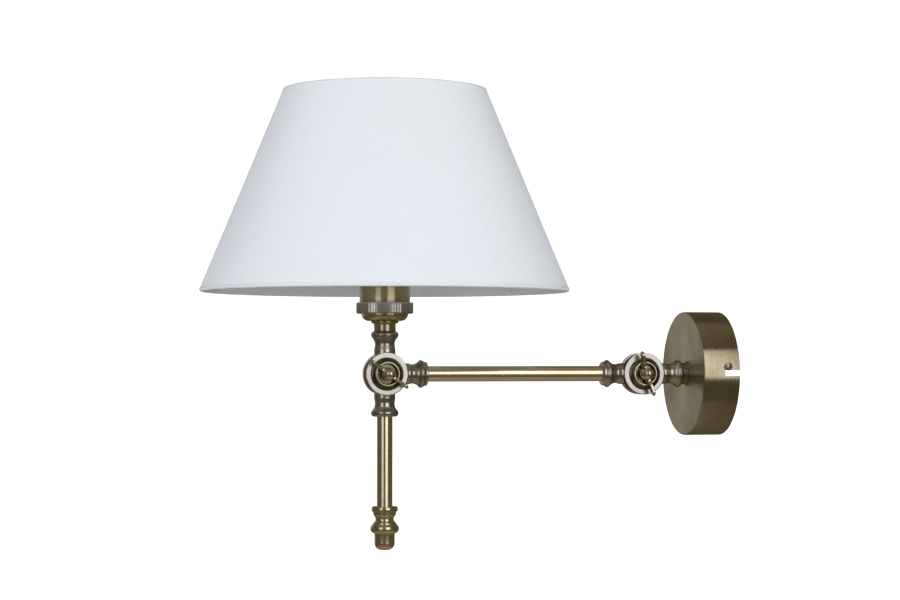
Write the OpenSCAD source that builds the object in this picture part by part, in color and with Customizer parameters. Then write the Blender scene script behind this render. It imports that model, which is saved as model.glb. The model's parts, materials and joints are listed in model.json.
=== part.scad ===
// Tilting arm wall sconce: round canopy, two knuckle joints, one arm and a fabric shade.
// The wall is the plane y = 0 and the canopy is centred on the origin. The arm reaches
// along -Y, +Z is up, and both knuckles turn about lines parallel to X.

/* [Canopy] */
// Outer radius of the canopy
canopy_r = 51.5; // [51:0.5:56]
// Depth of the canopy from the wall to its front face
canopy_depth = 31; // [30:0.5:34]
// Sheet thickness of the canopy
canopy_wall = 1.2; // [1:0.1:1.5]
// Width of the bayonet slots in the canopy's rim
slot_w = 4.7; // [4.5:0.1:5]
// Depth of the bayonet slots from the wall
slot_depth = 12.7; // [12.7:0.1:13.5]
// Distance between the wall screws
screw_spacing = 60; // [58:1:62]

/* [Arm] */
// Distance from the wall to the axis of the wall knuckle
wall_knuckle = 68; // [68:0.5:68.5]
// Distance between the axes of the two knuckles
arm_span = 218.5; // [200:0.5:240]
// Outer radius of the arm tube and of the lower tube
tube_r = 6.35; // [6.2:0.05:6.6]
// Wall thickness of the tubes
tube_wall = 1; // [0.8:0.1:1.2]

/* [Knuckles] */
// Radius of a knuckle
knuckle_r = 17.5; // [17.3:0.1:17.7]
// Half the thickness of a knuckle
knuckle_half = 9.3; // [9:0.1:9.4]
// Direction of the wall wing screw's wings from the arm's axis
wall_wing_angle = 73.8; // [0:0.1:180]
// Direction of the lamp wing screw's wings from the arm's axis
lamp_wing_angle = 36.2; // [0:0.1:180]

/* [Stem] */
// Length of the tube below the lamp knuckle
lower_tube_len = 73.4; // [40:0.2:100]

/* [Shade] */
// Outer radius of the shade at its bottom rim
shade_r_bottom = 150; // [146:1:155]
// Outer radius of the shade at its top rim
shade_r_top = 82.2; // [78:0.2:90]
// Height of the shade's bottom rim above the arm's axis
shade_z_bottom = 67.6; // [67:0.2:69]
// Height of the shade
shade_h = 164.2; // [150:0.2:180]

/* [Hidden] */
$fn = 96;
eps = 0.01;
fit_gap = 0.05;

// Canopy and bracket
bevel = 0.8;
slot_cut = 8;
bracket_t = 2;
bracket_w = 25;
bracket_h = 84;
wall_slot_r = 2.5;
wall_slot_len = 12;
slot_z = 0.6;
lock_z = 5.96;
lock_y = 10.4;
ear_w = 6;
ear_x = 48.6;
ear_t = 1.5;
ear_len = 15;
canopy_screw_r = 1.95;
canopy_screw_len = 8;
canopy_screw_head = [3.2, 2];
cable_hole_r = 8;
earth_screw_r = 1.7;
earth_screw_len = 4.5;
earth_screw_head = [3.3, 2.2];
lug_r = 4.2;
lug_t = 0.9;

// Threaded nipples, M10
nipple_r = 4.75;
nipple_bore = 3.4;
nipple_end = 20;
nipple_seat = 20.5;
nut_af = 14;
nut_t = 4;
washer_r = 9;
washer_t = 1;

// Leads
lead_r = 1.1;
lead_x = 1.35;
lead_low = -0.8;
lead_high = 1.5;
lead_end = 21;
lead_turn_y = -16;
block_top = -10;
block_size = [24, 12, 12];
pole_pitch = 8;
pole_y = -8;
clamp_depths = [3, 9];
clamp_r = 1.5;
terminal_r = 2.1;
terminal_bore = 1.3;
earth_z = 16;

// Knuckles
lamp_y = wall_knuckle + arm_span;
half_gap = 0.2;
edge = 0.5;
screw_r = 3;
screw_tip = 1.6;
pocket_in = 5.5;
pocket_out = 12.5;
pocket_x = 5;
seat_r = 13.6;
seat_x = 7.5;
rear_round = 4.5;
groove_in = 5.5;
groove_out = 9.5;
groove_depth = 0.6;
neck_start = 17;
neck_clear = knuckle_r + 0.3;
neck_foot_r = 8.7;
bead_waist_r = 8.07;
bead_waist_at = 24;
bead_at = 31.7;
bead_r = 3.05;
bead_mid = 8.2;
bead_end = 34.5;
collar_waist_r = 7.87;
collar_waist_at = 22.4;
collar_end = 34.6;
collar_r = 11.35;
socket_at = 27.6;
bore_start = 20;
bore_end = 40;
lead_bore = 3.6;
foot_r = 9;
wire_hole_r = 2.2;
wire_hole_x = 3;
recess_x = 8.8;
cup_rim_r = 9.25;
cup_rim_x = 12;
cup_rim_round = 1.15;
cup_cove = 3.6;
collar_screw_r = 5.2;
ball_x = 19;
ball_r = 5;
wing_t = 2.4;
wing_tip_r = 3.4;
wing_tip_at = 15.8;
wing_tip_x = 18;

// Lampholder, heights above the arm's axis
holder_nipple_top = 48;
spacer_z = 34.55;
spacer_r = 9;
flange_r = 11;
flange_z = 40.5;
dome_z = 42.9;
dome_round_at = 13.1;
dome_round = 5.9;
dome_t = 1;
skirt_r = 19.4;
ring_z = 48.8;
ring_h = 9.2;
ring_r = 23.2;
flute_count = 7;
flute_r = 17;
flute_turn = -12.2;
sleeve_r = 20.5;
sleeve_z = 50;
sleeve_top = 91;
shoulder_r = 23;
shoulder_z = 75.6;
sleeve_mouth = 15;
insert_z = 54.2;
contact_z = 60;
contact_r = 5.5;
shell_r = 13.3;
shell_z = 66;
shell_h = 22;
shell_t = 0.5;
grip_count = 24;
grip_r = 1.3;

// Shade
slant = norm([shade_r_bottom - shade_r_top, shade_h]);
shade_n = [shade_h, shade_r_bottom - shade_r_top] / slant;
shade_up = [shade_r_top - shade_r_bottom, shade_h] / slant;
cloth_t = 0.5;
liner_t = 0.4;
roll_r = 1.7;
wire_r = 1.2;
rim_low = [shade_r_bottom, shade_z_bottom + roll_r];
rim_high = rim_low + shade_up * (slant - 2 * roll_r);
roll_low = rim_low - shade_n * roll_r;
roll_high = rim_high - shade_n * roll_r;
fitter_z = 78;
fitter_t = 2;
fitter_r = 27;
spoke_r = 1.3;
spoke_out = 140;
spoke_count = 3;

// Finial, whose top is let over the lower tube's end
finial_top = bead_end + lower_tube_len - 0.7;
finial_cove = [10.9, 9.9, 3.5];
finial_bulge = [7.75, 17.7, 3.9];
finial_tip = [2.6, 29.4, 5.6];
rod_r = 2;
rod_grip = 12;
rod_start = 21;

module toward_wall() rotate([-90, 0, 0]) children();
module toward_room() rotate([90, 0, 0]) children();
module toward_side() rotate([0, 90, 0]) children();
module at_wall() translate([0, -wall_knuckle, 0]) children();
module at_lamp() translate([0, -lamp_y, 0]) children();
module both_ends() for (turn = [0, 180]) rotate([0, turn, 0]) children();

// A tube with its bottom at z0 and its top at z1
module pipe(r_out, r_in, z0, z1) {
    difference() {
        translate([0, 0, z0]) cylinder(r = r_out, h = z1 - z0);
        translate([0, 0, z0 - 1]) cylinder(r = r_in, h = z1 - z0 + 2);
    }
}

// A band of a revolved outline between two heights
module band(r_in, r_out, z0, z1) {
    translate([r_in, z0]) square([r_out - r_in, z1 - z0]);
}

// A round wire through a list of points
module wire(points, r) {
    for (i = [0 : len(points) - 2]) {
        step = points[i + 1] - points[i];
        translate(points[i])
            rotate([0, acos(step.z / norm(step)), atan2(step.y, step.x)])
                cylinder(r = r, h = norm(step), $fn = 24);
        if (i > 0) translate(points[i]) sphere(r = r * 1.04, $fn = 24);
    }
}

// Three insulated leads side by side, from z0 to z1
module lead_bundle(z0, z1) {
    for (spot = [[-lead_x, lead_low], [lead_x, lead_low], [0, lead_high]])
        translate([spot.x, spot.y, z0]) cylinder(r = lead_r, h = z1 - z0, $fn = 24);
}

// ---------------------------------------------------------------- canopy

module bayonet_slot() {
    inside = canopy_r - slot_cut / 2;
    translate([inside, -slot_depth, slot_z - slot_w / 2])
        cube([slot_cut, slot_depth + 1, slot_w]);
    translate([inside, -lock_y - slot_w / 2, slot_z])
        cube([slot_cut, slot_w, lock_z - slot_z]);
    translate([inside, -lock_y, lock_z])
        toward_side() cylinder(r = slot_w / 2, h = slot_cut);
}

module canopy_cover() {
    color([0.43, 0.38, 0.26])
    difference() {
        toward_room() rotate_extrude() polygon([
            [canopy_r - canopy_wall, 0], [canopy_r, 0],
            [canopy_r, canopy_depth - bevel], [canopy_r - bevel, canopy_depth],
            [nipple_r + fit_gap, canopy_depth], [nipple_r + fit_gap, canopy_depth - canopy_wall],
            [canopy_r - canopy_wall, canopy_depth - canopy_wall]
        ]);
        both_ends() bayonet_slot();
    }
}

module wall_slot() {
    half_run = wall_slot_len / 2 - wall_slot_r;
    for (dz = [-half_run, half_run])
        translate([0, 1, dz]) toward_room() cylinder(r = wall_slot_r, h = bracket_t + 2);
    translate([-wall_slot_r, -bracket_t - 1, -half_run])
        cube([2 * wall_slot_r, bracket_t + 2, 2 * half_run]);
}

module mounting_bracket() {
    color([0.72, 0.73, 0.74])
    difference() {
        union() {
            translate([-bracket_w / 2, -bracket_t, -bracket_h / 2])
                cube([bracket_w, bracket_t, bracket_h]);
            both_ends() {
                translate([0, -bracket_t, lock_z - ear_w / 2])
                    cube([ear_x, bracket_t, ear_w]);
                translate([ear_x - ear_t, -ear_len, lock_z - ear_w / 2])
                    cube([ear_t, ear_len, ear_w]);
            }
        }
        both_ends() translate([ear_x - ear_w, -lock_y, lock_z])
            toward_side() cylinder(r = canopy_screw_r + fit_gap, h = 2 * ear_w);
        for (side = [-1, 1]) translate([0, 0, side * screw_spacing / 2]) wall_slot();
        translate([0, 1, 0]) toward_room() cylinder(r = cable_hole_r, h = bracket_t + 2);
        translate([0, 1, earth_z]) toward_room()
            cylinder(r = earth_screw_r + fit_gap, h = bracket_t + 2);
    }
}

// Pan head screw along +X with a cross recess, its head resting at x = 0
module pan_screw(shank_r, shank_len, head_r, head_t) {
    difference() {
        toward_side() rotate_extrude() intersection() {
            union() {
                band(0, shank_r, -shank_len, eps);
                band(0, head_r, 0, head_t * 0.4);
                translate([0, head_t - 2 * head_r]) circle(r = 2 * head_r);
            }
            union() {
                band(0, head_r, 0, head_t);
                band(0, shank_r, -shank_len, eps);
            }
        }
        for (turn = [45, 135]) rotate([turn, 0, 0])
            translate([head_t * 0.4, -head_r * 0.62, -head_r * 0.11])
                cube([head_t, head_r * 1.24, head_r * 0.22]);
    }
}

module canopy_screws() {
    color([0.30, 0.29, 0.26])
    both_ends() translate([canopy_r - fit_gap, -lock_y, lock_z])
        pan_screw(canopy_screw_r, canopy_screw_len, canopy_screw_head[0], canopy_screw_head[1]);
}

// ---------------------------------------------------------------- wall side

module wall_nipple() {
    color([0.75, 0.68, 0.42])
    toward_room() pipe(nipple_r, nipple_bore, nipple_end, wall_knuckle - nipple_seat);
}

module nipple_nut() {
    color([0.75, 0.68, 0.42])
    toward_room() difference() {
        translate([0, 0, canopy_depth - canopy_wall - washer_t - nut_t])
            cylinder(r = nut_af / 2 / cos(30), h = nut_t, $fn = 6);
        cylinder(r = nipple_r + fit_gap, h = canopy_depth);
    }
}

module nipple_washer() {
    color([0.72, 0.73, 0.74])
    toward_room() pipe(washer_r, nipple_r + fit_gap,
        canopy_depth - canopy_wall - washer_t, canopy_depth - canopy_wall);
}

module terminal_block() {
    color([0.93, 0.93, 0.90])
    difference() {
        translate([-block_size.x / 2, -bracket_t - block_size.y, block_top - block_size.z])
            cube(block_size);
        for (pole = [-1, 0, 1]) translate([pole * pole_pitch, pole_y, block_top]) {
            translate([0, 0, -block_size.z - 1])
                cylinder(r = terminal_r + fit_gap, h = block_size.z + 2);
            for (depth = clamp_depths) translate([0, 0, -depth])
                toward_room() cylinder(r = clamp_r + 0.25, h = 10);
        }
        for (x = [-4, 4]) translate([x, -20, block_top - 1.6]) cube([0.8, 30, 1.7]);
    }
}

module terminal_sleeves() {
    color([0.80, 0.70, 0.40])
    for (pole = [-1, 0, 1]) translate([pole * pole_pitch, pole_y, block_top]) difference() {
        pipe(terminal_r, terminal_bore, -block_size.z + 0.5, -0.5);
        for (depth = clamp_depths) translate([0, 0, -depth])
            toward_room() cylinder(r = clamp_r + fit_gap, h = 4);
    }
}

module terminal_screws() {
    color([0.75, 0.76, 0.77])
    for (pole = [-1, 0, 1]) for (depth = clamp_depths)
        translate([pole * pole_pitch, pole_y, block_top - depth]) difference() {
            translate([0, -terminal_bore - fit_gap, 0]) toward_room() cylinder(r = clamp_r, h = 3.8);
            translate([-2, -5.4, -0.25]) cube([4, 1, 0.5]);
        }
}

module earth_screw() {
    color([0.75, 0.68, 0.42])
    translate([0, -bracket_t - lug_t, earth_z]) rotate([0, 0, -90]) union() {
        pan_screw(earth_screw_r, earth_screw_len, earth_screw_head[0], earth_screw_head[1]);
        toward_side() pipe(lug_r, 1, -lug_t, eps);
    }
}

// Route of a lead from its terminal to the inside of the wall neck
function supply_route(start, spot) = [
    start, [start.x, start.y - 1, start.z * 0.5], [spot.x, lead_turn_y, spot.y],
    [spot.x, -wall_knuckle + lead_end, spot.y]
];

module live_lead() {
    color([0.45, 0.26, 0.13])
    wire(supply_route([-pole_pitch, pole_y, block_top - 0.3], [-lead_x, lead_low]), lead_r);
}

module neutral_lead() {
    color([0.16, 0.32, 0.70])
    wire(supply_route([pole_pitch, pole_y, block_top - 0.3], [lead_x, lead_low]), lead_r);
}

module earth_lead() {
    color([0.42, 0.66, 0.20])
    wire([[0, -6.3, earth_z - 4.6], [0, -10, earth_z - 8], [0, lead_turn_y, lead_high],
        [0, -wall_knuckle + lead_end, lead_high]], lead_r);
}

// ---------------------------------------------------------------- knuckles

// Front half of a knuckle, centred on its axis, with a seat for the cup washer
module front_half() {
    toward_side() rotate_extrude() difference() {
        polygon([
            [screw_r + fit_gap, half_gap], [knuckle_r, half_gap],
            [knuckle_r, knuckle_half - edge], [knuckle_r - edge, knuckle_half],
            [seat_r, knuckle_half], [seat_r, seat_x], [screw_r + fit_gap, seat_x]
        ]);
        band(pocket_in, pocket_out, 0, pocket_x);
    }
}

// Rear half of a knuckle, with a rounded back and a blind hole for the wing screw
module rear_half() {
    toward_side() mirror([0, 0, 1]) rotate_extrude() difference() {
        union() {
            band(0, knuckle_r, half_gap, knuckle_half - rear_round);
            band(0, knuckle_r - rear_round, half_gap, knuckle_half);
            translate([knuckle_r - rear_round, knuckle_half - rear_round])
                circle(r = rear_round);
        }
        band(0, knuckle_r + 1, -rear_round, half_gap);
        band(0, screw_r + fit_gap, 0, knuckle_half - screw_tip + 0.4);
        band(pocket_in, pocket_out, 0, pocket_x);
        band(groove_in, groove_out, knuckle_half - groove_depth, knuckle_half + 1);
    }
}

// Takes away a neck's inner end: all of it inside its own half, and on the other side (-1 or 1)
// also the clearance that the other half turns in
module seat_on_half(other_side) {
    difference() {
        children();
        translate([-30, 0, 0]) toward_side() cylinder(r = neck_start, h = 60);
        translate([other_side > 0 ? -half_gap : -30 + half_gap, 0, 0])
            toward_side() cylinder(r = neck_clear, h = 30);
    }
}

// A neck's outline from inside the knuckle: a straight foot up to foot_end, a taper to the
// waist, and a cove of radius cove_r from the waist to z1
module waist_outline(foot_end, waist_r, waist_at, cove_r, z1) {
    polygon([[0, neck_start - 4], [neck_foot_r, neck_start - 4], [neck_foot_r, foot_end],
        [waist_r, waist_at - 0.8], [waist_r, waist_at + eps], [0, waist_at + eps]]);
    difference() {
        band(0, waist_r + cove_r * 0.6, waist_at, z1);
        translate([waist_r + cove_r, waist_at]) circle(r = cove_r);
    }
}

// Neck that ends in a round bead
module bead_neck() {
    rotate_extrude() {
        waist_outline(19.6, bead_waist_r, bead_waist_at, 7.6, 29.7);
        intersection() {
            translate([bead_mid, bead_at]) circle(r = bead_r);
            band(0, 12, bead_at - bead_r, bead_end);
        }
        band(0, bead_mid, bead_at - bead_r, bead_end);
    }
}

// Neck that ends in a pointed collar, for a tube
module collar_neck() {
    cove_end = 28.6;
    rotate_extrude() {
        waist_outline(19.3, collar_waist_r, collar_waist_at, 7.9, cove_end);
        polygon([[0, cove_end - eps], [collar_r - 0.45, cove_end - eps], [collar_r, 29.6],
            [collar_r, 30.3], [10.2, 32.3], [9.75, 32.6], [9.75, collar_end], [0, collar_end]]);
    }
}

// Lead hole that joins a neck's bore to the pocket in its half (side is -1 or 1)
module lead_hole(side) {
    translate([side * wire_hole_x, 0, pocket_out - 3]) cylinder(r = wire_hole_r, h = 12);
}

module neck_bore(r, z0, z1) translate([0, 0, z0]) cylinder(r = r, h = z1 - z0);

// Small foot between the bead and the canopy
module neck_foot() {
    translate([0, 0, bead_end - 1])
        cylinder(r = foot_r, h = wall_knuckle - canopy_depth - bead_end + 1);
}

module wall_knuckle_front() {
    color([0.40, 0.38, 0.29])
    at_wall() difference() {
        union() {
            front_half();
            toward_wall() seat_on_half(-1) union() {
                bead_neck();
                neck_foot();
            }
        }
        toward_wall() {
            neck_bore(nipple_r + fit_gap, bore_start, bore_end);
            lead_hole(1);
        }
    }
}

module wall_knuckle_rear() {
    color([0.40, 0.38, 0.29])
    at_wall() difference() {
        union() {
            rear_half();
            toward_room() seat_on_half(1) collar_neck();
        }
        toward_room() {
            neck_bore(tube_r + fit_gap, socket_at, bore_end);
            neck_bore(lead_bore, bore_start, socket_at + 1);
            lead_hole(-1);
        }
    }
}

module lamp_knuckle_rear() {
    color([0.40, 0.38, 0.29])
    at_lamp() difference() {
        union() {
            rear_half();
            toward_wall() seat_on_half(1) collar_neck();
        }
        toward_wall() {
            neck_bore(tube_r + fit_gap, socket_at, bore_end);
            neck_bore(lead_bore, bore_start, socket_at + 1);
            lead_hole(-1);
        }
    }
}

module lamp_knuckle_front() {
    color([0.40, 0.38, 0.29])
    at_lamp() difference() {
        union() {
            front_half();
            seat_on_half(-1) bead_neck();
            mirror([0, 0, 1]) seat_on_half(-1) bead_neck();
        }
        neck_bore(nipple_r + fit_gap, bore_start, bore_end);
        lead_hole(1);
        mirror([0, 0, 1]) neck_bore(rod_r + fit_gap, bore_start, bore_end);
    }
}

// Washer with a concave flare and a round rim, hollow round the wing screw
module cup_washer() {
    toward_side() rotate_extrude() difference() {
        union() {
            difference() {
                band(screw_r + fit_gap, seat_r - 0.2, seat_x, cup_rim_x);
                translate([seat_r + 0.3, cup_rim_x + 0.4]) circle(r = cup_cove);
            }
            translate([cup_rim_r, cup_rim_x]) circle(r = cup_rim_round);
        }
        band(0, cup_rim_r - cup_rim_round, recess_x, cup_rim_x + 2);
    }
}

module wall_cup_washer() {
    color([0.46, 0.42, 0.30])
    at_wall() cup_washer();
}

module lamp_cup_washer() {
    color([0.46, 0.42, 0.30])
    at_lamp() cup_washer();
}

module friction_washer() {
    toward_side() pipe(knuckle_r - 0.7, pocket_out + 0.6, -half_gap, half_gap - 0.05);
}

module wall_friction_washer() {
    color([0.25, 0.20, 0.16])
    at_wall() friction_washer();
}

module lamp_friction_washer() {
    color([0.25, 0.20, 0.16])
    at_lamp() friction_washer();
}

// Wing screw on the axis X; its wings lie in the plane through X at the given angle
module wing_screw(angle) {
    collar_x = 13.6;
    waist_r = collar_screw_r - 1.5;
    toward_side() rotate_extrude() intersection() {
        union() {
            band(0, screw_r, -knuckle_half + screw_tip, collar_x);
            band(0, collar_screw_r, recess_x + 0.1, collar_x);
            polygon([[0, collar_x - eps], [collar_screw_r, collar_x], [waist_r, collar_x + 2.8],
                [waist_r, ball_x], [0, ball_x]]);
            translate([0, ball_x]) circle(r = ball_r);
        }
        band(0, ball_r + 1, -knuckle_half, ball_x + ball_r + 1);
    }
    for (turn = [0, 180]) rotate([turn - angle, 0, 0])
        translate([0, 0, -wing_t / 2]) linear_extrude(wing_t) {
            polygon([[12.3, 3], [15.4, wing_tip_at + 1], [wing_tip_x + 3.3, wing_tip_at - 0.8],
                [17.4, 3]]);
            translate([wing_tip_x, wing_tip_at]) circle(r = wing_tip_r);
        }
}

module wall_wing_screw() {
    color([0.48, 0.44, 0.32])
    at_wall() wing_screw(wall_wing_angle);
}

module lamp_wing_screw() {
    color([0.48, 0.44, 0.32])
    at_lamp() wing_screw(lamp_wing_angle);
}

// ---------------------------------------------------------------- arm

module arm_tube() {
    color([0.50, 0.45, 0.30])
    toward_room() pipe(tube_r, tube_r - tube_wall,
        wall_knuckle + socket_at + 0.2, lamp_y - socket_at - 0.2);
}

module arm_leads() {
    color([0.9, 0.9, 0.88])
    toward_room() lead_bundle(wall_knuckle + lead_end, lamp_y - lead_end);
}

// ---------------------------------------------------------------- stem

module lower_tube() {
    color([0.50, 0.45, 0.30])
    at_lamp() pipe(tube_r, tube_r - tube_wall, -finial_top, -bead_end);
}

module tie_rod() {
    color([0.72, 0.73, 0.74])
    at_lamp() translate([0, 0, -finial_top - rod_grip])
        cylinder(r = rod_r, h = finial_top + rod_grip - rod_start);
}

module finial() {
    color([0.44, 0.40, 0.29])
    at_lamp() translate([0, 0, -finial_top]) mirror([0, 0, 1]) difference() {
        rotate_extrude() intersection() {
            union() {
                band(0, 10.2, 0, 4.2);
                translate([10.2, 1]) square([0.5, 2.2]);
                for (z = [1, 3.2]) translate([9.7, z]) circle(r = 1);
                band(0, 9.3, 4.1, 6.8);
                difference() {
                    band(0, 9.3, 6.7, 13);
                    translate([finial_cove[0], finial_cove[1]]) circle(r = finial_cove[2]);
                }
                band(0, 9.3, 12.9, 14.6);
                translate([finial_bulge[0], finial_bulge[1]]) circle(r = finial_bulge[2]);
                band(0, finial_bulge[0], 14, 21.5);
                band(0, finial_tip[0] + finial_tip[2], 21, finial_tip[1]);
                translate([finial_tip[0], finial_tip[1]]) circle(r = finial_tip[2]);
                band(0, finial_tip[0], finial_tip[1], finial_tip[1] + finial_tip[2]);
            }
            band(0, 20, 0, 40);
        }
        translate([0, 0, -1]) cylinder(r = rod_r + fit_gap, h = rod_grip + 2);
    }
}

// ---------------------------------------------------------------- lampholder

module holder_nipple() {
    color([0.75, 0.68, 0.42])
    at_lamp() pipe(nipple_r, nipple_bore, nipple_seat, holder_nipple_top);
}

module holder_spacer() {
    color([0.50, 0.45, 0.30])
    at_lamp() rotate_extrude() difference() {
        union() {
            band(nipple_r + fit_gap, spacer_r, spacer_z, flange_z + 0.6);
            band(nipple_r + fit_gap, flange_r, flange_z + 0.4, dome_z);
            translate([flange_r - 0.7, (flange_z + dome_z + 0.4) / 2]) circle(r = 1);
        }
        translate([spacer_r + 0.9, flange_z - 0.2]) circle(r = 0.9);
    }
}

// Outline of the dome at a distance in from its outer face
module dome_outline(inset) {
    intersection() {
        union() {
            translate([dome_round_at, ring_z]) circle(r = dome_round - inset);
            band(0, dome_round_at, dome_z + inset, ring_z + eps);
        }
        band(0, ring_r, 0, ring_z + eps);
    }
}

module holder_dome() {
    color([0.50, 0.45, 0.30])
    at_lamp() rotate_extrude() difference() {
        union() {
            dome_outline(0);
            band(skirt_r - 2.4, skirt_r, ring_z, ring_z + 5);
        }
        dome_outline(dome_t);
        band(skirt_r - 3.4, skirt_r - dome_t, ring_z - 2, ring_z + 6);
        band(0, nipple_r + fit_gap, 0, sleeve_top);
    }
}

module holder_nut() {
    color([0.75, 0.68, 0.42])
    at_lamp() difference() {
        translate([0, 0, dome_z + dome_t]) cylinder(r = nut_af / 2 / cos(30), h = nut_t - 1, $fn = 6);
        translate([0, 0, dome_z]) cylinder(r = nipple_r + fit_gap, h = 6);
    }
}

module stem_leads() {
    color([0.9, 0.9, 0.88])
    at_lamp() lead_bundle(nipple_seat, insert_z - 2.2);
}

module holder_terminals() {
    color([0.80, 0.70, 0.40])
    at_lamp() for (side = [-1, 1]) translate([side * 12, 0, insert_z - 4]) difference() {
        translate([-2.5, -3, 0]) cube([5, 6, 4]);
        translate([0, 0, -1]) cylinder(r = 1.4, h = 3.4);
    }
}

module coupling_ring() {
    color([0.45, 0.42, 0.34])
    at_lamp() difference() {
        rotate_extrude() {
            band(sleeve_r + fit_gap, ring_r, ring_z, ring_z + ring_h);
            band(skirt_r + fit_gap, ring_r - 1, ring_z, sleeve_z);
        }
        for (i = [0 : flute_count - 1]) rotate([0, 0, flute_turn + i * 360 / flute_count])
            translate([ring_r + flute_r - 1, 0, ring_z - 1])
                cylinder(r = flute_r, h = ring_h + 2);
    }
}

module holder_sleeve() {
    color([0.50, 0.45, 0.30])
    at_lamp() rotate_extrude() {
        band(sleeve_r - 1, sleeve_r, sleeve_z, sleeve_top);
        band(sleeve_r - eps, shoulder_r, shoulder_z, fitter_z);
        band(sleeve_mouth, sleeve_r - eps, sleeve_top - 1, sleeve_top);
    }
}

module holder_insert() {
    color([0.92, 0.91, 0.87])
    at_lamp() rotate_extrude() difference() {
        band(0, skirt_r, insert_z, sleeve_top - 1.1);
        band(0, shell_r + shell_t + fit_gap, shell_z - 0.6, sleeve_top);
        band(0, contact_r + 0.5, contact_z, shell_z);
    }
}

module screw_shell() {
    color([0.80, 0.72, 0.45])
    at_lamp() rotate_extrude() {
        band(shell_r, shell_r + shell_t, shell_z, shell_z + shell_h);
        band(contact_r + 2.5, shell_r + shell_t, shell_z - shell_t, shell_z + eps);
    }
}

module centre_contact() {
    color([0.80, 0.70, 0.40])
    at_lamp() {
        translate([0, 0, contact_z]) cylinder(r = contact_r, h = 0.8);
        translate([0, 0, contact_z + 0.7]) cylinder(r = 2.2, h = 3.3);
        translate([-5, -2, contact_z + 3.9]) cube([10, 4, 0.6]);
    }
}

module shade_clamp_ring() {
    color([0.92, 0.91, 0.87])
    at_lamp() difference() {
        rotate_extrude() {
            band(sleeve_r + fit_gap, shoulder_r + 0.5, fitter_z + fitter_t, fitter_z + 9);
            band(sleeve_r + fit_gap, shoulder_r + 2.5, fitter_z + fitter_t, fitter_z + 5);
        }
        for (i = [0 : grip_count - 1]) rotate([0, 0, i * 360 / grip_count])
            translate([shoulder_r + 3.2, 0, fitter_z]) cylinder(r = grip_r, h = 15, $fn = 24);
    }
}

// ---------------------------------------------------------------- shade

module shade_fitter() {
    color([0.93, 0.93, 0.92])
    at_lamp() pipe(fitter_r, sleeve_r + fit_gap, fitter_z, fitter_z + fitter_t);
}

module fitter_spokes() {
    spoke_z = fitter_z + fitter_t / 2;
    color([0.93, 0.93, 0.92])
    at_lamp() for (i = [0 : spoke_count - 1]) rotate([0, 0, i * 360 / spoke_count])
        wire([[fitter_r + fit_gap, 0, spoke_z], [spoke_out, 0, spoke_z],
            [roll_low.x - roll_r - spoke_r - 0.1, 0, roll_low.y + 0.3]], spoke_r);
}

module rim_wire(centre) {
    rotate_extrude() translate(centre) circle(r = wire_r);
}

module shade_bottom_wire() {
    color([0.9, 0.9, 0.9])
    at_lamp() rim_wire(roll_low);
}

module shade_top_wire() {
    color([0.9, 0.9, 0.9])
    at_lamp() rim_wire(roll_high);
}

// A strip along the shade's slant, between two depths in from its outer face
module slant_strip(depth0, depth1, inset) {
    low = rim_low + shade_up * inset;
    high = rim_high - shade_up * inset;
    polygon([low - shade_n * depth0, high - shade_n * depth0,
        high - shade_n * depth1, low - shade_n * depth1]);
}

module shade_liner() {
    color([0.96, 0.96, 0.94])
    at_lamp() rotate_extrude() slant_strip(cloth_t + 0.02, cloth_t + liner_t, 4);
}

module shade_cover() {
    color([0.90, 0.91, 0.94])
    at_lamp() rotate_extrude() difference() {
        union() {
            slant_strip(0, cloth_t, 0);
            translate(roll_low) circle(r = roll_r);
            translate(roll_high) circle(r = roll_r);
        }
        translate(roll_low) circle(r = wire_r + 0.02);
        translate(roll_high) circle(r = wire_r + 0.02);
    }
}

canopy_cover();
mounting_bracket();
canopy_screws();
wall_nipple();
nipple_nut();
nipple_washer();
terminal_block();
terminal_sleeves();
terminal_screws();
earth_screw();
live_lead();
neutral_lead();
earth_lead();
wall_knuckle_front();
wall_cup_washer();
wall_knuckle_rear();
wall_friction_washer();
arm_tube();
arm_leads();
lamp_knuckle_rear();
lamp_friction_washer();
wall_wing_screw();
lamp_wing_screw();
lamp_knuckle_front();
lamp_cup_washer();
lower_tube();
tie_rod();
finial();
holder_nipple();
holder_spacer();
holder_dome();
holder_nut();
stem_leads();
holder_terminals();
coupling_ring();
holder_sleeve();
holder_insert();
screw_shell();
centre_contact();
shade_clamp_ring();
shade_fitter();
fitter_spokes();
shade_bottom_wire();
shade_top_wire();
shade_liner();
shade_cover();
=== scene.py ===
"""Looks of the wall sconce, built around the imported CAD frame.

Shapes are written in millimetres in the local axes of the part that they belong to, and placed
on the knuckle axes that the frame gives. +Z is up, the wall is y = 0 and the arm reaches along -Y.
"""

import json
import math

import bmesh
import bpy
from mathutils import Matrix, Vector


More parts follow.
